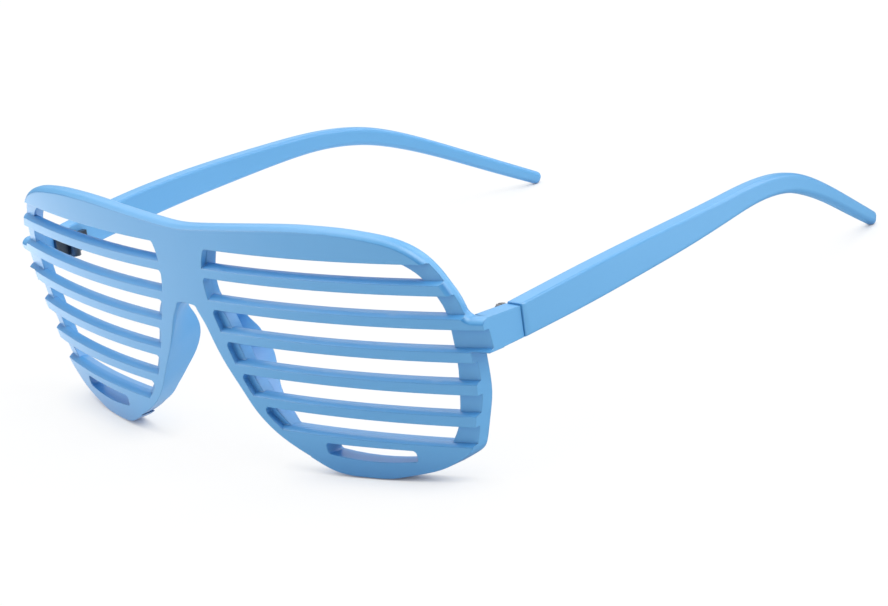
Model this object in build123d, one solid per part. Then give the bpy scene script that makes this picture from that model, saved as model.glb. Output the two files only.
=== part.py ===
import os
from math import asin, atan, cos, degrees, sin, sqrt

from build123d import *

# Slatted novelty glasses, standing open on the two rim bottoms and the two temple tips.
# +X is the wearer's left, +Y goes back to the ears, +Z is up. Sizes are in millimetres.
# The front is drawn upright, with its foremost point at y = 0 and z = 0, level with the
# lower edge of the top slat. Last of all, the whole pair is tipped until it stands.
# The front wraps round the face less at the brow than at the foot, and its slats fan out.

# Front moulding
half_width = 68.3
brow_rise = 12.35
rim_drop = 38.4
brow_wrap_radius = 274.0
foot_wrap_radius = 168.0
crown_radius = 351.5
front_thickness = 3.6
recess_depth = 1.2
brow_round = 1.7
brow_back_round = 1.4
brow_crease = 0.19
overrun = 4.0
strip_margin = 0.05
layer_levels = 5
levelling_rounds = 4

# Slats and the ledges between them
slat_count = 5
slat_pitch = 6.39
slat_face = 1.85
slat_depth = 1.9
ledge_rise = 0.85
ledge_bulge = 0.12
rear_ledge_drop = 0.3
slot_corner_round = 1.0
brow_edge_drop = 0.45
fan_distance = 238.0
fan_level = -20.0

# Small slot in each bottom plate
foot_slot_inner = 31.5
foot_slot_outer = 51.8
foot_slot_top = -31.75
foot_slot_height = 2.3
foot_slot_bow = 0.75
foot_slot_corner = 0.8

# Nose pads
pad_height = 27.9
pad_top = -6.6
pad_root = 1.0
pad_reach = 10.15
pad_wall = 1.9

# End pieces
end_reach = 3.7
corner_inset = 0.3
end_wall = 3.8
end_rise = 0.75
end_lift = 0.45
end_blend = 1.6
end_length = 9.2
end_flare = 0.1
seam_top = -4.1
seam_bottom = -10.15
seam_gap = 0.12

# Temples
temple_length = 130.3
temple_height = 6.5
temple_wall = 4.0
temple_proud = 0.4
tip_inset = 19.5
tip_drop = 19.2
tip_round = 0.8

# Hinges
hinge_inset = 1.35
hinge_bottom = -10.0
knuckle_radius = 1.2
knuckle_height = 1.7
knuckle_gap = 0.05
leaf_length = 4.2
leaf_height = 4.2
leaf_step = 0.55
leaf_sink = 0.6
leaf_clearance = 0.02
screw_radius = 0.55
screw_clearance = 0.04
screw_head_radius = 0.95
screw_head_height = 0.35
screw_slot_width = 0.3
screw_slot_depth = 0.2

# Outline of one side, in shares of half_width and of brow_rise above or rim_drop below
brow_shares = [
    (0.0, 0.826), (0.088, 0.850), (0.249, 0.919), (0.373, 0.968), (0.476, 0.996),
    (0.556, 1.0), (0.644, 0.988), (0.732, 0.947), (0.805, 0.883), (0.864, 0.769),
    (0.908, 0.607), (0.931, 0.470), (0.952, 0.300),
]
corner_shares = [(0.971, 0.113), (0.984, -0.016)]
side_shares = [
    (0.997, -0.365), (0.985, -0.520), (0.966, -0.625), (0.940, -0.753),
    (0.922, -0.817), (0.884, -0.867), (0.842, -0.909), (0.795, -0.940), (0.710, -0.977),
    (0.600, -1.0),
]
nose_shares = [
    (0.464, -0.979), (0.387, -0.914), (0.307, -0.839), (0.252, -0.766), (0.221, -0.706),
    (0.177, -0.583), (0.132, -0.461), (0.088, -0.305), (0.0717, -0.245), (0.048, -0.182),
    (0.0, -0.156),
]
pad_shares = [
    (0.0, -0.110), (0.085, -0.140), (0.137, -0.182), (0.139, -0.260), (0.138, -0.313),
    (0.139, -0.365), (0.148, -0.417), (0.160, -0.469), (0.172, -0.521), (0.188, -0.573),
    (0.208, -0.625), (0.234, -0.677), (0.262, -0.729), (0.287, -0.781), (0.345, -0.860),
    (0.420, -0.930),
]

# Nasal ends of the slots, and the two ends of the window in the rim behind them
slot_end_shares = [
    (0.137, 0.610), (0.100, 0.155), (0.106, -0.118), (0.138, -0.285), (0.174, -0.451),
    (0.222, -0.617), (0.300, -0.770), (0.390, -0.880),
]
window_nose_shares = [
    (0.132, 0.610), (0.101, 0.155), (0.107, -0.118), (0.150, -0.200), (0.172, -0.285),
    (0.206, -0.451), (0.254, -0.617), (0.340, -0.784), (0.400, -0.860),
]
window_side_shares = [
    (0.790, 0.600), (0.830, 0.510), (0.883, 0.332), (0.925, 0.0), (0.936, -0.042),
    (0.944, -0.182), (0.9385, -0.352), (0.921, -0.518), (0.892, -0.690), (0.860, -0.784),
    (0.830, -0.860),
]

# How far back a nose pad reaches, as shares of its height from the top and of pad_reach
reach_shares = [
    (0.0, 0.36), (0.05, 0.60), (0.12, 0.71), (0.19, 0.84), (0.27, 0.935), (0.37, 1.0),
    (0.48, 0.95), (0.55, 0.88), (0.62, 0.80), (0.70, 0.76), (0.77, 0.74), (0.84, 0.72),
    (0.92, 0.60), (1.0, 0.40),
]

# A temple from the hinge to the tip, in shares of temple_length, tip_inset, tip_drop,
# temple_height, temple_wall and, for the rounding of the corners, of half the wall
temple_shares = [
    (0.000, 0.000, 0.000, 1.00, 1.00, 0.28),
    (0.124, 0.045, 0.085, 0.98, 0.98, 0.32),
    (0.247, 0.042, 0.139, 0.89, 0.96, 0.36),
    (0.370, -0.008, 0.189, 0.78, 0.93, 0.44),
    (0.477, -0.092, 0.216, 0.69, 0.90, 0.52),
    (0.554, -0.174, 0.206, 0.65, 0.88, 0.58),
    (0.616, -0.252, 0.164, 0.63, 0.86, 0.64),
    (0.669, -0.331, 0.090, 0.62, 0.84, 0.70),
    (0.731, -0.432, -0.049, 0.62, 0.81, 0.76),
    (0.815, -0.591, -0.323, 0.61, 0.78, 0.82),
    (0.907, -0.790, -0.664, 0.59, 0.74, 0.86),
    (1.000, -1.000, -1.000, 0.55, 0.70, 0.88),
]


# In side view the front face is an upright arc, and level arcs cross it. Their curvature
# falls evenly from the foot to the brow.
def crown(z):
    return crown_radius - sqrt(crown_radius**2 - z**2)


def wrap_radius(z):
    share = (z + rim_drop) / (brow_rise + rim_drop)
    return 1 / ((1 - share) / foot_wrap_radius + share / brow_wrap_radius)


def wrap(x, z):
    return wrap_radius(z) - sqrt(wrap_radius(z) ** 2 - x**2)


def end_half_width():
    return half_width + end_reach


def points(shares):
    return [(x * half_width, z * (brow_rise if z > 0 else rim_drop)) for x, z in shares]


def slat_top(number):
    return slat_face - (number - 1) * slat_pitch


def slat_bottom(number):
    return -(number - 1) * slat_pitch


def slot_top(number):
    return slat_bottom(number - 1) - (brow_edge_drop if number == 1 else 0)


def both_sides(shape):
    return shape + mirror(shape, Plane.YZ)


# A face drawn in front view (x, z) becomes a bar from one depth y to another
def bar(face, front, back):
    return Pos(0, front, 0) * extrude(Plane.XZ * face, front - back)


def through(face):
    return bar(face, -overrun, wrap(end_half_width(), -rim_drop) + front_thickness + 2 * overrun)


# How much the slats of a height rise towards the back
def fan(z):
    return (z - fan_level) / fan_distance


# A face drawn in side view (y, z) is turned from the middle out over the left side, with
# the wrap and the rise of one height
def turned(face, z):
    radius = wrap_radius(z)
    spot = (0, crown(z) + radius, z + radius * fan(z))
    axis = Axis(spot, (0, -fan(z), 1))
    angle = degrees(asin((end_half_width() + overrun) / (radius - front_thickness - overrun)))
    return revolve(Plane.YZ * face, axis, angle)


# An arc across the front at one height, a depth behind the front face
def front_arc(z, depth):
    radius = wrap_radius(z)
    angle = asin((end_half_width() + overrun) / radius)
    x = (radius - depth) * sin(angle)
    y = crown(z) + radius - (radius - depth) * cos(angle)
    return ThreePointArc((-x, y, z), (0, crown(z) + depth, z), (x, y, z))


# A layer of the front between two depths behind the front face
def layer(near, far):
    top = brow_rise + overrun
    bottom = -rim_drop - overrun
    faces = []
    for level in range(layer_levels):
        z = bottom + (top - bottom) * level / (layer_levels - 1)
        front = front_arc(z, near)
        back = front_arc(z, far)
        sides = [Line(front @ 1, back @ 1), Line(back @ 0, front @ 0)]
        faces.append(make_face([front, back] + sides))
    return loft(faces)


def end_top():
    return slat_top(2) + end_rise


def end_bottom():
    return slat_top(3) + end_lift


# Front view of one half, with the end piece as a block at the second slat
def half_outline():
    end_root = (half_width - corner_inset, end_top())
    brow_end = (0.49, -0.87)
    brow = Spline(points(brow_shares), tangents=[(1, 0), brow_end])
    corner_points = [brow @ 1] + points(corner_shares) + [end_root]
    corner = Spline(corner_points, tangents=[brow_end, (0.2, -0.98)])
    top = Line(end_root, (end_half_width(), end_top()))
    outer = Line(top @ 1, (end_half_width(), end_bottom()))
    step_in = Line(outer @ 1, (half_width, end_bottom()))
    side = Spline([step_in @ 1] + points(side_shares), tangents=[(0, -1), (-1, 0)])
    nose = Spline([side @ 1] + points(nose_shares), tangents=[(-1, 0), (-1, 0)])
    middle = Line(nose @ 1, brow @ 0)
    face = make_face([brow, corner, top, outer, step_in, side, nose, middle])
    root = face.vertices().sort_by_distance(Vertex(*end_root))[0]
    return fillet(root, end_blend)


def depth_of(edge):
    spot = edge @ 0.5
    return spot.Y - crown(spot.Z) - wrap(spot.X, spot.Z)


# The plain front: the brow is rounded over its upper edge down to a crease, and softer behind
def blank():
    shape = layer(-brow_crease, front_thickness) & through(both_sides(half_outline()))
    brow_end = points(brow_shares)[-1][1]
    high_edges = [e for e in shape.edges() if (e @ 0.5).Z > brow_end]
    back_edges = [e for e in high_edges if depth_of(e) > front_thickness / 2]
    shape = fillet(back_edges, brow_back_round)
    high_edges = [e for e in shape.edges() if (e @ 0.5).Z > brow_end]
    front_edges = [e for e in high_edges if depth_of(e) < 0]
    return fillet(front_edges, brow_round)


# Side view of one slot: level above, and below it a ledge that rises towards the back
def slot_section(number):
    low = slat_top(number)
    high = slot_top(number)
    face = crown(low)
    brim = (face + slat_depth, low + ledge_rise)
    bulge = ((face + brim[0]) / 2 - ledge_bulge, (low + brim[1]) / 2 + ledge_bulge)
    back = face + front_thickness
    ledge = ThreePointArc((face, low), bulge, brim)
    rest = Polyline(
        brim,
        (back, brim[1] - rear_ledge_drop),
        (back + overrun, brim[1] - rear_ledge_drop),
        (back + overrun, high),
        (-overrun, high),
        (-overrun, low),
        (face, low),
    )
    return make_face([ledge, rest])


# Front view of one slot, from the nose plate out past the outline. Its section sets its
# height; the strip only follows the upper edge, to round the nasal corner.
def slot_front(number):
    ends = Spline(points(slot_end_shares))
    far = end_half_width() + 2 * overrun
    outer = Polyline(ends @ 1, (far, (ends @ 1).Y), (far, (ends @ 0).Y), ends @ 0)
    width = end_half_width() + overrun
    low = slat_top(number) - overrun
    high = slot_top(number) + strip_margin
    rise = wrap(width, slat_top(number)) * fan(slat_top(number))
    edge = Spline((0, high), (width / 2, high + rise / 4), (width, high + rise))
    base = Polyline(edge @ 1, (width, low), (0, low), edge @ 0)
    shape = make_face([edge, base]) & make_face([ends, outer])
    corner = shape.vertices().filter_by_position(Axis.X, 0, half_width / 2).sort_by(Axis.Y)[-1]
    return fillet(corner, slot_corner_round)


# Front view of the window in the rim behind the slats
def window():
    inner = Spline(points(window_nose_shares))
    outer = Spline(points(window_side_shares))
    top = Line(inner @ 0, outer @ 0)
    bottom = Line(inner @ 1, outer @ 1)
    return make_face([inner, bottom, outer, top])


# Everything that the slots of one side take out of the blank
def slot_cuts():
    opening = through(window())
    depth = layer(-overrun, recess_depth) + opening
    cuts = []
    for number in range(1, slat_count + 2):
        section = turned(slot_section(number), slat_top(number))
        cuts.append(through(slot_front(number)) & section & depth)
    return cuts


# The space behind the slats, between the brow and the bottom plate
def space_behind():
    behind = through(window()) & layer(slat_depth, front_thickness + overrun)
    low = slat_top(slat_count + 1)
    back = crown(low) + front_thickness + overrun
    rise = low + ledge_rise
    middle = slat_bottom(3)
    lower = make_face(Polyline(
        (0, rise), (crown(low) + slat_depth, rise),
        (crown(low) + front_thickness, rise - rear_ledge_drop), (back, rise - rear_ledge_drop),
        (back, middle + overrun), (0, middle + overrun), (0, rise),
    ))
    upper = make_face(Polyline(
        (0, middle), (back, middle), (back, slot_top(1)), (0, slot_top(1)), (0, middle),
    ))
    return [behind & turned(lower, low), behind & turned(upper, slat_top(1))]


# Front view of the gap between the nose pads, widened by a wall on each side
def nose_gap(shares, wall):
    curve = Spline([(x + wall, z) for x, z in points(shares)])
    top = points(shares)[0][1]
    base = (curve @ 1).Y
    edges = [curve, Polyline(curve @ 1, (0, base), (0, top))]
    if wall > 0:
        edges.append(Line((0, top), curve @ 0))
    return make_face(edges)


# The gap between the pads as a solid that widens from the front towards the rear
def nose_plug(wall):
    front = Pos(0, pad_root, 0) * (Plane.XZ * nose_gap(nose_shares[::-1][:-1], wall))
    rear = Pos(0, pad_reach, 0) * (Plane.XZ * nose_gap(pad_shares, wall))
    return loft([front, rear])


# Side view of a pad, from within the nose plate to its rear edge
def pad_profile():
    edge = Spline([(y * pad_reach, pad_top - z * pad_height) for z, y in reach_shares])
    front = Polyline(edge @ 1, (pad_root, (edge @ 1).Y), (pad_root, (edge @ 0).Y), edge @ 0)
    return make_face([edge, front])


def pad():
    side = extrude(Plane.YZ * pad_profile(), half_width)
    wall = nose_plug(pad_wall) - nose_plug(0)
    return wall & side & layer(recess_depth, pad_reach + overrun)


def foot_slot():
    bottom = foot_slot_top - foot_slot_height
    middle = (foot_slot_inner + foot_slot_outer) / 2
    bow = ThreePointArc(
        (foot_slot_inner, bottom), (middle, bottom - foot_slot_bow), (foot_slot_outer, bottom)
    )
    rest = Polyline(
        bow @ 1, (foot_slot_outer, foot_slot_top), (foot_slot_inner, foot_slot_top), bow @ 0
    )
    face = make_face([bow, rest])
    return through(fillet(face.vertices(), foot_slot_corner))


def seam_y():
    return wrap(end_half_width(), end_bottom()) + end_length


# The arm that carries the hinge, from the front back to the seam
def end_piece():
    start = wrap(end_half_width(), end_bottom()) + recess_depth + end_flare
    outer = end_half_width() + end_flare
    first = Pos(end_half_width() - end_wall / 2, (end_top() + end_bottom()) / 2) * Rectangle(
        end_wall, end_top() - end_bottom()
    )
    last = Pos(outer - end_wall / 2, (seam_top + seam_bottom) / 2) * Rectangle(
        end_wall, seam_top - seam_bottom
    )
    return loft([Pos(0, start, 0) * (Plane.XZ * first), Pos(0, seam_y(), 0) * (Plane.XZ * last)])


def front_frame():
    plain = blank() & layer(0, front_thickness + overrun)
    body = plain - both_sides(nose_plug(0)) + both_sides(pad()) + both_sides(end_piece())
    half_tools = slot_cuts() + space_behind() + [foot_slot(), front_leaf_pocket()]
    tools = half_tools + [mirror(tool, Plane.YZ) for tool in half_tools]
    return body.cut(*tools)


def temple_outer():
    return end_half_width() + end_flare + temple_proud


def temple_start():
    return seam_y() + seam_gap


# Middle of the temple's outer face at one station
def temple_spot(station):
    along, inward, up = station[:3]
    middle = seam_top + temple_proud - temple_height / 2
    return Vector(
        temple_outer() + tip_inset * inward,
        temple_start() + temple_length * along,
        middle + tip_drop * up,
    )


def temple_section(number):
    last = len(temple_shares) - 1
    height, wall, corner = temple_shares[number][3:]
    before = temple_spot(temple_shares[max(number - 1, 0)])
    after = temple_spot(temple_shares[min(number + 1, last)])
    ahead = after - before if number > 0 else Vector(0, 1, 0)
    width = temple_wall * wall
    centre = temple_spot(temple_shares[number]) - Vector(width / 2, 0, 0)
    across = Vector(ahead.Y, -ahead.X, 0)
    plane = Plane(origin=centre, x_dir=across, z_dir=ahead)
    return plane * RectangleRounded(width, temple_height * height, corner * width / 2)


def temple():
    body = loft([temple_section(number) for number in range(len(temple_shares))])
    tip = body.faces().sort_by(Axis.Y)[-1]
    body = fillet(tip.edges(), tip_round)
    return body - temple_leaf_pocket()


# The hinge axis is upright, just inside the inner faces, in the middle of the seam
def end_inner():
    return end_half_width() + end_flare - end_wall


def temple_inner():
    return temple_outer() - temple_wall


def hinge_x():
    return end_inner() - hinge_inset


def hinge_y():
    return seam_y() + seam_gap / 2


def knuckle_bottom(number):
    return hinge_bottom + number * (knuckle_height + knuckle_gap)


def hinge_top():
    return knuckle_bottom(2) + knuckle_height


def upright(radius, bottom, top):
    rod = Cylinder(radius, top - bottom, align=(Align.CENTER, Align.CENTER, Align.MIN))
    return Pos(hinge_x(), hinge_y(), bottom) * rod


def knuckle(number):
    bottom = knuckle_bottom(number)
    return upright(knuckle_radius, bottom, bottom + knuckle_height)


# Room round the knuckle of the other leaf
def knuckle_room(number):
    bottom = knuckle_bottom(number) - knuckle_gap
    top = bottom + knuckle_height + 2 * knuckle_gap
    return upright(knuckle_radius + knuckle_gap, bottom, top)


def bore():
    return upright(screw_radius + screw_clearance, hinge_bottom, hinge_top())


# A leaf's plate between two depths y, from beside the knuckles into a member's inner face
def plate(front, back, outer, clearance):
    inner = hinge_x() + leaf_step
    middle = (hinge_bottom + hinge_top()) / 2
    height = leaf_height + 2 * clearance
    box = Box(outer - inner, back - front, height, align=(Align.MIN, Align.MIN, Align.CENTER))
    return Pos(inner, front, middle) * box


def front_plate(clearance):
    front = seam_y() - leaf_length - clearance
    return plate(front, seam_y(), end_inner() + leaf_sink, clearance)


def temple_plate(clearance):
    back = temple_start() + leaf_length + clearance
    return plate(temple_start(), back, temple_inner() + leaf_sink, clearance)


def front_leaf_pocket():
    return front_plate(leaf_clearance)


def temple_leaf_pocket():
    return temple_plate(leaf_clearance)


def front_leaf():
    body = front_plate(0) - knuckle_room(1)
    return body + knuckle(0) + knuckle(2) - bore()


def temple_leaf():
    body = temple_plate(0) - knuckle_room(0) - knuckle_room(2)
    return body + knuckle(1) - bore()


def screw():
    top = hinge_top()
    shaft = upright(screw_radius, hinge_bottom, top)
    head = upright(screw_head_radius, top, top + screw_head_height)
    upper = (Align.CENTER, Align.CENTER, Align.MAX)
    slot = Box(2 * knuckle_radius, screw_slot_width, screw_slot_depth, align=upper)
    return shaft + head - Pos(hinge_x(), hinge_y(), top + screw_head_height) * slot


# How far the pair tips forward until rim bottoms and temple tips are level
def standing_angle(front, side):
    angle = 0
    for _ in range(levelling_rounds):
        front_low = (Rot(X=angle) * front).bounding_box().min.Z
        side_low = (Rot(X=angle) * side).bounding_box().min.Z
        angle -= degrees(atan((side_low - front_low) / temple_length))
    return angle


def main():
    frame = front_frame()
    left = {
        "temple": temple(),
        "front_leaf": front_leaf(),
        "temple_leaf": temple_leaf(),
        "hinge_screw": screw(),
    }
    angle = standing_angle(frame, left["temple"])
    front_low = (Rot(X=angle) * frame).bounding_box().min
    back = (Rot(X=angle) * left["temple"]).bounding_box().max.Y
    stand = Pos(0, -(front_low.Y + back) / 2, -front_low.Z) * Rot(X=angle)
    os.makedirs("parts", exist_ok=True)
    export_step(stand * frame, "parts/front_frame.step")
    for name, shape in left.items():
        export_step(stand * shape, f"parts/left_{name}.step")
        export_step(stand * mirror(shape, Plane.YZ), f"parts/right_{name}.step")


main()
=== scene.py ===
import math
import bpy
import numpy as np
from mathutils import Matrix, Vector


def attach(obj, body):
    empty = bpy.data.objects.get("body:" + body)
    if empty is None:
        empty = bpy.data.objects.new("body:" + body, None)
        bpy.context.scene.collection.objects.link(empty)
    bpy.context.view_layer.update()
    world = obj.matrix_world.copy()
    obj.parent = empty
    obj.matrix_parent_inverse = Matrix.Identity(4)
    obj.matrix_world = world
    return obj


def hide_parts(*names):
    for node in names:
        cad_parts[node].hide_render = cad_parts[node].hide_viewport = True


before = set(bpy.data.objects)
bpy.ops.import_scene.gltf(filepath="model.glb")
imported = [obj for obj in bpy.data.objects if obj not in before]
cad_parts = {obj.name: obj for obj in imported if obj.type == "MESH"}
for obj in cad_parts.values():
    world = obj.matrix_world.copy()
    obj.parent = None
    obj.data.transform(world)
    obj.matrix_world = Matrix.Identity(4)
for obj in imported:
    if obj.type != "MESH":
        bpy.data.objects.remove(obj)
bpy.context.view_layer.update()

scene = bpy.context.scene
scene.view_settings.view_transform = "Standard"
millimetre = 0.001
print("frame loaded:", ", ".join(sorted(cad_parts)))


# camera

cameraValues = {
    "place": (0.407817, -0.362100, 0.199535),  # metres
    "turn": (69.98686, 10.75229, 45.23782),  # degrees about x, y and z
    "lens": 107.371,  # millimetres, and so is the sensor
    "sensor": 36.0,
    "nearest": 0.01,  # metres
}


def placeCamera(values):
    data = bpy.data.cameras.new("camera")
    data.lens = values["lens"]
    data.sensor_width = values["sensor"]
    data.clip_start = values["nearest"]
    camera = bpy.data.objects.new("camera", data)
    camera.location = values["place"]
    camera.rotation_euler = [math.radians(angle) for angle in values["turn"]]
    scene.collection.objects.link(camera)
    scene.camera = camera


placeCamera(cameraValues)
print("camera placed")


# shader tools

class Wire:
    # a socket of a node: arithmetic on wires and numbers adds Math nodes
    def __init__(self, paint, socket):
        self.paint = paint
        self.socket = socket

    def combine(self, operation, *values):
        return self.paint.add("Math", {"operation": operation}, dict(enumerate(values)))

    def __add__(self, other):
        return self.combine("ADD", self, other)

    def __sub__(self, other):
        return self.combine("SUBTRACT", self, other)

    def __rsub__(self, other):
        return self.combine("SUBTRACT", other, self)

    def __mul__(self, other):
        return self.combine("MULTIPLY", self, other)

    def __truediv__(self, other):
        return self.combine("DIVIDE", self, other)

    def __rtruediv__(self, other):
        return self.combine("DIVIDE", other, self)

    def __abs__(self):
        return self.combine("ABSOLUTE", self)

    def sine(self):
        return self.combine("SINE", self)

    def clamped(self):
        # held between 0 and 1
        return self.paint.add("Clamp", {}, {0: self})

    __radd__ = __add__
    __rmul__ = __mul__


class Paint:
    # the nodes of a material or a world, and the one method that adds them
    def __init__(self, owner):
        owner.use_nodes = True
        self.owner = owner
        self.tree = owner.node_tree
        self.tree.nodes.clear()

    def add(self, kind, settings={}, sockets={}, output=0):
        node = self.tree.nodes.new("ShaderNode" + kind)
        for name, value in settings.items():
            setattr(node, name, value)
        for name, value in sockets.items():
            if isinstance(value, Wire):
                self.tree.links.new(value.socket, node.inputs[name])
            else:
                node.inputs[name].default_value = value
        if node.outputs:
            return Wire(self, node.outputs[output])

    def place(self):
        return self.add("TexCoord", output="Object")

    def blend(self, share, first, second):
        # goes from the first colour to the second as share goes from 0 to 1, and the node
        # keeps its colours in inputs 6 and 7 and output 2
        return self.add("Mix", {"data_type": "RGBA"}, {0: share, 6: first, 7: second}, 2)

    def blendShaders(self, share, first, second):
        return self.add("MixShader", {}, {0: share, 1: first, 2: second})

    def noise(self, place, size, detail, stretch=(1, 1, 1)):
        # soft cloud pattern, size is the width of its patches in metres
        spread = self.add("VectorMath", {"operation": "MULTIPLY"}, {0: place, 1: stretch})
        return self.add("TexNoise", {}, {"Vector": spread, "Scale": 1 / size, "Detail": detail})

    def softEdge(self, values):
        # the normal as it would be with every edge rounded by edgeRadius
        return self.add("Bevel", {"samples": values["edgeSamples"]}, {"Radius": values["edgeRadius"]})

    def openness(self, samples, reach):
        # 1 in the open, less where something stands within reach
        return self.add("AmbientOcclusion", {"samples": samples}, {"Distance": reach}, "AO")

    def finish(self, kind, surface):
        self.add("Output" + kind, {}, {"Surface": surface})
        return self.owner


def newPaint(name):
    return Paint(bpy.data.materials.new(name))


def dress(names, material):
    # gives the CAD nodes of these names the material on every slot
    for name in names:
        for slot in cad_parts[name].material_slots:
            slot.material = material


noiseMiddle = 0.5
pureWhite = (1, 1, 1, 1)


# moulded plastic of the front and the temples

plasticValues = {
    # painted shade: the darker blue for corners and recesses that little light reaches
    "paintedShadeBlue": (0.030, 0.210, 0.560, 1),
    # painted shade: a deeper blue that darkens rounded edges, as if they mirrored something dark
    "paintedEdgeShadeBlue": (0.010, 0.215, 0.560, 1),
    "refraction": 1.54,
    "gloss": 1.0,
    "cloudDetail": 3.0,
    "grainDetail": 2.0,
    "grainSpread": 0.06,  # what the grain adds to the roughness
    "wornShine": 0.06,  # what worn edges lose of it
    "paintedShadeSamples": 12,
}

frontValues = {
    **plasticValues,
    "blue": (0.104, 0.400, 0.770, 1),
    "paleBlue": (0.124, 0.422, 0.780, 1),
    "roughness": 0.36,
    "roughnessSpread": 0.08,
    "cloudSize": 0.018,
    "grainSize": 0.00035,
    "grainHeight": 0.000004,
    "edgeRadius": 0.00028,
    "edgeSamples": 6,
    "edgeGain": 5.0,
    "creaseRise": 0.42,
    "creaseWidth": 0.25,
    "creaseGain": 3.0,
    "paintedEdgeShadeDepth": 0.90,
    "paintedShadeReach": 0.008,
    "paintedShadeDepth": 1.0,
}

templeValues = {
    **plasticValues,
    "blue": (0.106, 0.400, 0.760, 1),
    "paleBlue": (0.122, 0.422, 0.780, 1),
    "roughness": 0.38,
    "roughnessSpread": 0.10,
    "cloudSize": 0.022,
    "grainSize": 0.00040,
    "grainHeight": 0.000003,
    "paintedEdgeShadeDepth": 0.24,
    "paintedShadeReach": 0.003,
    "paintedShadeDepth": 0.45,
}


def edgesFromNormals(paint, softEdge, values):
    # worn: (1 - the softened normal's dot product with the true one) * edgeGain
    straight = paint.add("NewGeometry", output="Normal")
    alike = paint.add("VectorMath", {"operation": "DOT_PRODUCT"}, {0: softEdge, 1: straight}, "Value")
    worn = ((1 - alike) * values["edgeGain"]).clamped()
    # painted shade: a band where the softened normal rises by about creaseRise, on forward roundings,
    # where the colour is darkened as if it mirrored something dark
    rise = paint.add("SeparateXYZ", {}, {0: softEdge}, "Z")
    back = paint.add("SeparateXYZ", {}, {0: softEdge}, "Y")
    band = (1 - abs(rise - values["creaseRise"]) / values["creaseWidth"]).clamped()
    return worn, band * (back * -values["creaseGain"]).clamped()


def mouldedPlastic(name, values):
    paint = newPaint(name)
    place = paint.place()
    cloud = paint.noise(place, values["cloudSize"], values["cloudDetail"])
    grain = paint.noise(place, values["grainSize"], values["grainDetail"])
    bumps = {"Strength": 1.0, "Distance": values["grainHeight"], "Height": grain}
    if "edgeRadius" in values:
        bumps["Normal"] = paint.softEdge(values)
        worn, paintedEdgeShade = edgesFromNormals(paint, bumps["Normal"], values)
    else:
        worn = paintedEdgeShade = paint.add("Attribute", {"attribute_name": "edge"}, output="Fac")
    # edges are smoother; painted shade: rounded front edges and the temples' edges are darkened towards
    # a deeper blue, and corners that little light reaches are darkened
    # painted shade: ambient occlusion darkens the colour where something stands close
    corner = (1 - paint.openness(values["paintedShadeSamples"], values["paintedShadeReach"])) * values["paintedShadeDepth"]
    colour = paint.blend(cloud, values["blue"], values["paleBlue"])
    # painted shade: darker blue along the rounded edges
    colour = paint.blend(paintedEdgeShade * values["paintedEdgeShadeDepth"], colour, values["paintedEdgeShadeBlue"])
    colour = paint.blend(corner, colour, values["paintedShadeBlue"])
    clouded = (cloud - noiseMiddle) * values["roughnessSpread"]
    grainy = (grain - noiseMiddle) * values["grainSpread"]
    surface = paint.add("BsdfPrincipled", {}, {
        "Base Color": colour,
        "Roughness": clouded + grainy + values["roughness"] - worn * values["wornShine"],
        "IOR": values["refraction"],
        "Specular IOR Level": values["gloss"],
        "Normal": paint.add("Bump", {}, bumps),
    })
    return paint.finish("Material", surface)


dress(["front_frame"], mouldedPlastic("frontPlastic", frontValues))
templePlastic = mouldedPlastic("templePlastic", templeValues)
print("plastic done")


# temples: one smooth sweep each, from the seam to the rounded tip, in the place of the CAD temples

sweepValues = {
    # millimetres on the upright front's axes: place back, outer face, middle height,
    # height, wall and corner radius
    "stations": [
        (21.83, 72.50, -6.95, 6.50, 4.00, 0.50),
        (38.00, 73.38, -5.46, 6.80, 3.92, 0.55),
        (54.00, 73.32, -4.33, 6.45, 3.84, 0.60),
        (70.00, 72.34, -3.62, 5.75, 3.72, 0.70),
        (84.00, 70.71, -3.12, 4.90, 3.60, 0.80),
        (94.00, 69.10, -3.05, 4.45, 3.50, 0.90),
        (102.0, 67.60, -3.75, 4.30, 3.40, 1.00),
        (109.0, 66.05, -5.20, 4.20, 3.30, 1.05),
        (117.0, 64.08, -8.10, 3.95, 3.10, 1.10),
        (128.0, 60.98, -13.4, 3.55, 2.95, 1.10),
        (140.0, 57.10, -19.85, 3.35, 2.80, 1.10),
        (151.3, 53.25, -25.90, 3.10, 2.60, 1.10),
    ],
    "ringStep": 1.2,
    "tipLength": 1.5,
    "tipRings": 9,
    "cornerPoints": 7,
    "cornerSupport": 0.12,  # from a corner's ends to the next points of the flats
    "mouthBevel": 0.12,
    "insetLoss": 0.5,  # what a corner radius loses for each millimetre that a ring is drawn in
    "radiusShare": 0.98,  # keeps a short flat between the corners of the smallest rings
    "smallestRadius": 0.02,
    "lean": -4.46481,  # degrees that the pair tips forward
    "shift": (0.0, -74.8708, 39.1444),
}


def throughPoints(places, values, at):
    # natural cubic spline: the second derivatives, bend, solve a tridiagonal system
    count = len(places)
    gaps = np.diff(places)
    slopes = np.diff(values) / gaps
    system = np.eye(count)
    right = np.zeros(count)
    for i in range(1, count - 1):
        system[i, i - 1:i + 2] = gaps[i - 1], 2 * (gaps[i - 1] + gaps[i]), gaps[i]
        right[i] = 6 * (slopes[i] - slopes[i - 1])
    bend = np.linalg.solve(system, right)
    piece = np.clip(np.searchsorted(places, at) - 1, 0, count - 2)
    gap = gaps[piece]
    after = (at - places[piece]) / gap
    before = 1 - after
    curve = (before**3 - before) * bend[piece] + (after**3 - after) * bend[piece + 1]
    return before * values[piece] + after * values[piece + 1] + curve * gap**2 / 6


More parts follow.
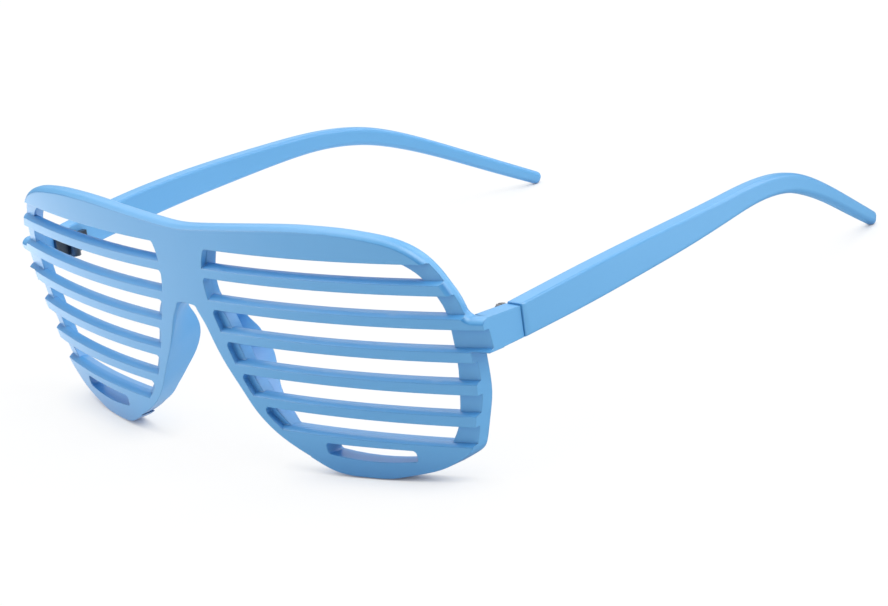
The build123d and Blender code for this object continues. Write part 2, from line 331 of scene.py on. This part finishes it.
def roundedRings(width, tall, radius, values):
    # a rounded rectangle for each ring: corner centres at half the size less the radius, round
    # each a quarter circle of that radius, and a support point on the flat at each of its ends
    turns = np.linspace(0, math.pi / 2, values["cornerPoints"])
    turns = np.concatenate([turns[:1], turns, turns[-1:]])
    sides = np.array([(1, 1), (-1, 1), (-1, -1), (1, -1)])
    starts = np.arange(len(sides)) * math.pi / 2
    angles = starts[:, None] + turns
    outward = np.stack([np.cos(angles), np.sin(angles)], -1)
    support = np.zeros_like(outward)
    support[:, 0] = np.stack([np.sin(starts), -np.cos(starts)], -1)
    support[:, -1] = np.stack([-np.cos(starts), -np.sin(starts)], -1)
    radius = radius[:, None, None, None]
    centres = sides[:, None] * (np.stack([width, tall], -1)[:, None, None] / 2 - radius)
    points = centres + radius * outward + support * values["cornerSupport"]
    return points.reshape(len(width), -1, 2)


def ringPlan(count, lastWall, values):
    # for each ring: its step of the path, how far it is drawn in and how far it lies beyond.
    # Two rings make the mouth's bevel, and a quarter ellipse of rings rounds the tip
    turns = np.linspace(0, math.pi / 2, values["tipRings"] + 1)[:-1]
    bevel = values["mouthBevel"]
    between = np.arange(1, count - 1)
    step = np.concatenate([[0, 0], between, np.full(len(turns), count - 1)])
    inset = np.concatenate([[bevel, 0], between * 0, lastWall / 2 * (1 - np.cos(turns))])
    beyond = np.concatenate([[0, bevel], between * 0, values["tipLength"] * np.sin(turns)])
    return step, inset, beyond


def sweepRings(values):
    # splines through the stations give the path of the outer face and the section on it. Each
    # section stands across the path: its width lies along the path's direction cross upright,
    # its height square to both, and its middle half a wall inside the path
    table = np.array(values["stations"])
    start, end = table[0, 0], table[-1, 0]
    back = np.linspace(start, end, int((end - start) / values["ringStep"]))
    columns = [throughPoints(table[:, 0], column, back) for column in table.T[1:]]
    outer, level, height, wall, corner = columns
    path = np.stack([outer, back, level], 1)
    ahead = np.gradient(path, axis=0)
    ahead[0] = (0, 1, 0)
    ahead /= np.linalg.norm(ahead, axis=1)[:, None]
    across = np.cross(ahead, (0, 0, 1))
    across /= np.linalg.norm(across, axis=1)[:, None]
    up = np.cross(across, ahead)
    centre = path - across * wall[:, None] / 2
    step, inset, beyond = ringPlan(len(back), wall[-1], values)
    width = wall[step] - 2 * inset
    tall = height[step] - 2 * inset
    radius = np.minimum(corner[step] - inset * values["insetLoss"], np.minimum(width, tall) / 2)
    radius = np.maximum(radius * values["radiusShare"], values["smallestRadius"])
    flat = roundedRings(width, tall, radius, values)
    middle = centre[step] + ahead[step] * beyond[:, None]
    rings = middle[:, None] + flat[..., :1] * across[step][:, None] + flat[..., 1:] * up[step][:, None]
    return rings, centre[-1] + ahead[-1] * values["tipLength"]


def standing(points, values):
    # tips the points forward about x and moves them to the shared frame
    lean = math.radians(values["lean"])
    turn = np.array([
        (1, 0, 0),
        (0, math.cos(lean), math.sin(lean)),
        (0, -math.sin(lean), math.cos(lean)),
    ])
    return points @ turn + values["shift"]


def sweepFaces(count, around):
    # the flat mouth, then four-sided faces from ring to ring, then a fan to the tip's last point
    i = np.arange(around)
    first = np.arange(count)[:, None] * around + i
    beside = np.arange(count)[:, None] * around + (i + 1) % around
    walls = np.stack([first[:-1], beside[:-1], beside[1:], first[1:]], -1).reshape(-1, 4)
    fan = np.stack([first[-1], beside[-1], np.full(around, count * around)], -1)
    return [i[::-1].tolist()] + walls.tolist() + fan.tolist()


def sweepTemple(name, side, values, material):
    rings, tip = sweepRings(values)
    points = standing(np.concatenate([rings.reshape(-1, 3), tip[None]]), values) * (side, 1, 1)
    faces = sweepFaces(len(rings), rings.shape[1])
    if side > 0:
        faces = [face[::-1] for face in faces]
    mesh = bpy.data.meshes.new(name)
    mesh.from_pydata((points * millimetre).tolist(), [], faces)
    mesh.polygons.foreach_set("use_smooth", [False] + [True] * (len(faces) - 1))
    # edges for the material, which smooth them and paint shade on them: the sine of half a turn along
    # each corner, 0 at the support points
    arc = np.sin(np.linspace(0, math.pi, values["cornerPoints"]))
    marks = np.resize(np.pad(arc, 1), len(points) - 1)
    edge = mesh.attributes.new("edge", "FLOAT", "POINT")
    edge.data.foreach_set("value", np.append(marks, 0).astype(np.float32))
    mesh.materials.append(material)
    temple = bpy.data.objects.new(name, mesh)
    scene.collection.objects.link(temple)
    return temple


for half, side in (("left", 1), ("right", -1)):
    temple = sweepTemple(half + "_swept_temple", side, sweepValues, templePlastic)
    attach(temple, half + "_side")
    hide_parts(half + "_temple")
print("temples swept")


# metal of the hinges

def hingeMetal(paint, place, relief, values):
    # clouded metal with softened edges, relief is the fine pattern of its surface
    cloud = paint.noise(place, values["cloudSize"], values["cloudDetail"])
    normal = paint.add("Bump", {}, {
        "Strength": 1.0,
        "Distance": values["reliefHeight"],
        "Height": relief,
        "Normal": paint.softEdge(values),
    })
    surface = paint.add("BsdfPrincipled", {}, {
        "Base Color": paint.blend(cloud, values["darkMetal"], values["metal"]),
        "Metallic": 1.0,
        "Roughness": (cloud - noiseMiddle) * values["roughnessSpread"] + values["roughness"],
        "Normal": normal,
    })
    return paint.finish("Material", surface)


leafValues = {
    # painted reflection: the blue-grey tint of the leaves' metal stands in for the blue plastic it
    # mirrors
    "metal": (0.17, 0.21, 0.27, 1),
    "darkMetal": (0.07, 0.10, 0.14, 1),
    "roughness": 0.36,
    "roughnessSpread": 0.15,
    "cloudSize": 0.0012,
    "cloudDetail": 3.0,
    "grainSize": 0.00012,
    "grainDetail": 2.0,
    "grainStretch": (1, 0.12, 1),
    "reliefHeight": 0.000003,
    "edgeRadius": 0.00010,
    "edgeSamples": 4,
}


def stampedMetal(name, values):
    # the grain is drawn out along y
    paint = newPaint(name)
    place = paint.place()
    drawn = paint.noise(place, values["grainSize"], values["grainDetail"], values["grainStretch"])
    return hingeMetal(paint, place, drawn, values)


leafNames = ["left_front_leaf", "right_front_leaf", "left_temple_leaf", "right_temple_leaf"]
dress(leafNames, stampedMetal("leafMetal", leafValues))
print("hinge leaves done")


screwValues = {
    "metal": (0.30, 0.30, 0.31, 1),
    "darkMetal": (0.16, 0.16, 0.17, 1),
    "roughness": 0.30,
    "roughnessSpread": 0.12,
    "cloudSize": 0.0008,
    "cloudDetail": 2.0,
    "ringPitch": 0.00011,
    "reliefHeight": 0.000002,
    "edgeRadius": 0.00008,
    "edgeSamples": 4,
    "axis": (0.06695, 0.05371, 0),  # how far the screws stand from the origin, sideways and forward
}


def turnedMetal(name, values):
    # the sine of the distance from the screw's axis, on both sides of the object alike
    paint = newPaint(name)
    place = paint.place()
    folded = paint.add("VectorMath", {"operation": "ABSOLUTE"}, {0: place})
    away = paint.add("VectorMath", {"operation": "SUBTRACT"}, {0: folded, 1: values["axis"]})
    flat = paint.add("VectorMath", {"operation": "MULTIPLY"}, {0: away, 1: (1, 1, 0)})
    distance = paint.add("VectorMath", {"operation": "LENGTH"}, {0: flat}, "Value")
    rings = (distance * (math.tau / values["ringPitch"])).sine()
    return hingeMetal(paint, place, rings, values)


dress(["left_hinge_screw", "right_hinge_screw"], turnedMetal("screwMetal", screwValues))
print("screws done")


# floor and surroundings

floorValues = {
    "halfSize": 4.0,  # metres
    "paper": (0.90, 0.90, 0.90, 1),
    "cameraGlow": 0.86,  # how much of the floor the camera sees as pure white
    "contactReach": 0.008,
    "contactSamples": 16,
    "glossGlow": 0.85,  # how much of it the object's sheen sees as glowing paper
    "glossStrength": 0.15,
    "patchStrength": 2.75,
    "patches": [  # middle and reach in metres, and strength
        ((-0.21, -0.03, 0.0), 0.22, 1.15),
        ((0.20, 0.10, 0.0), 0.13, 0.50),
        ((-0.15, -0.27, 0.0), 0.30, 0.16),
    ],
}


def patchShare(paint, patches):
    # the sum of all patches, each of which fades evenly from its middle to its reach
    place = paint.place()
    share = 0
    for middle, reach, strength in patches:
        away = paint.add("VectorMath", {"operation": "DISTANCE"}, {0: place, 1: middle}, "Value")
        share = (1 - away / reach).clamped() * strength + share
    return share


def glow(paint, strength):
    return paint.add("Emission", {}, {"Color": pureWhite, "Strength": strength})


def floorPaper(values):
    paint = newPaint("floorPaper")
    rays = paint.add("LightPath", output="Is Camera Ray")
    gloss = paint.add("LightPath", output="Is Glossy Ray")
    paper = paint.add("BsdfDiffuse", {}, {"Color": values["paper"]})
    # brighter patches of paper beside the object, which only its sheen shows
    share = patchShare(paint, values["patches"])
    dim = glow(paint, values["glossStrength"])
    bright = glow(paint, values["patchStrength"])
    sheen = paint.blendShaders(share, dim, bright)
    reflected = paint.blendShaders(gloss * values["glossGlow"], paper, sheen)
    # the camera sees full shadows only close to what touches the floor
    clear = paint.openness(values["contactSamples"], values["contactReach"])
    seen = paint.blendShaders(rays * clear * values["cameraGlow"], reflected, glow(paint, 1.0))
    return paint.finish("Material", seen)


def layFloor(values):
    corners = np.array([(-1, -1, 0), (1, -1, 0), (1, 1, 0), (-1, 1, 0)]) * values["halfSize"]
    mesh = bpy.data.meshes.new("floor")
    mesh.from_pydata(corners.tolist(), [], [(0, 1, 2, 3)])
    mesh.materials.append(floorPaper(values))
    floor = bpy.data.objects.new("floor", mesh)
    scene.collection.objects.link(floor)


worldValues = {
    "ambient": (0.95, 0.98, 1.0, 1),
    "strength": 0.34,
}


def lightWorld(values):
    # the camera sees white, everything else the ambient light
    world = bpy.data.worlds.new("room")
    scene.world = world
    paint = Paint(world)
    seen = paint.add("LightPath", output="Is Camera Ray")
    soft = paint.add("Background", {}, {"Color": values["ambient"], "Strength": values["strength"]})
    plain = paint.add("Background", {}, {"Color": pureWhite, "Strength": 1.0})
    paint.finish("World", paint.blendShaders(seen, soft, plain))


layFloor(floorValues)
lightWorld(worldValues)
print("floor and surroundings done")


# soft lamps round the object: azimuth from the front towards the wearer's left and height,
# both in degrees, distance and side in metres, power in watts

lampValues = {
    "distance": 1.2,
    "lamps": {
        "backRight": {"azimuth": 110, "height": 40, "side": 0.7, "power": 4.7},
        "back": {"azimuth": 180, "height": 40, "side": 0.7, "power": 2.6},
        "backLow": {"azimuth": 158, "height": 12, "side": 0.5, "power": 1.6},
        "backLeft": {"azimuth": 240, "height": 40, "side": 0.7, "power": 1.6},
        "above": {"azimuth": 75, "height": 72, "side": 0.7, "power": 5.4},
        "aboveLeft": {"azimuth": 270, "height": 68, "side": 0.7, "power": 2.5},
        "frontLeft": {"azimuth": 300, "height": 40, "side": 0.7, "power": 1.7},
        "backLeftLow": {"azimuth": 225, "height": 12, "side": 0.5, "power": 0.35},
        "frontLeftLow": {"azimuth": 315, "height": 12, "side": 0.5, "power": 2.9},
    },
}


def hangLamps(values):
    for name, lamp in values["lamps"].items():
        data = bpy.data.lights.new(name, "AREA")
        data.size = lamp["side"]
        data.energy = lamp["power"]
        azimuth = math.radians(lamp["azimuth"])
        height = math.radians(lamp["height"])
        level = math.cos(height)
        towards = Vector((math.sin(azimuth) * level, -math.cos(azimuth) * level, math.sin(height)))
        lampObject = bpy.data.objects.new(name, data)
        lampObject.location = towards * values["distance"]
        lampObject.rotation_euler = towards.to_track_quat("Z", "Y").to_euler()
        lampObject.visible_camera = False
        scene.collection.objects.link(lampObject)


hangLamps(lampValues)
print("lamps done")
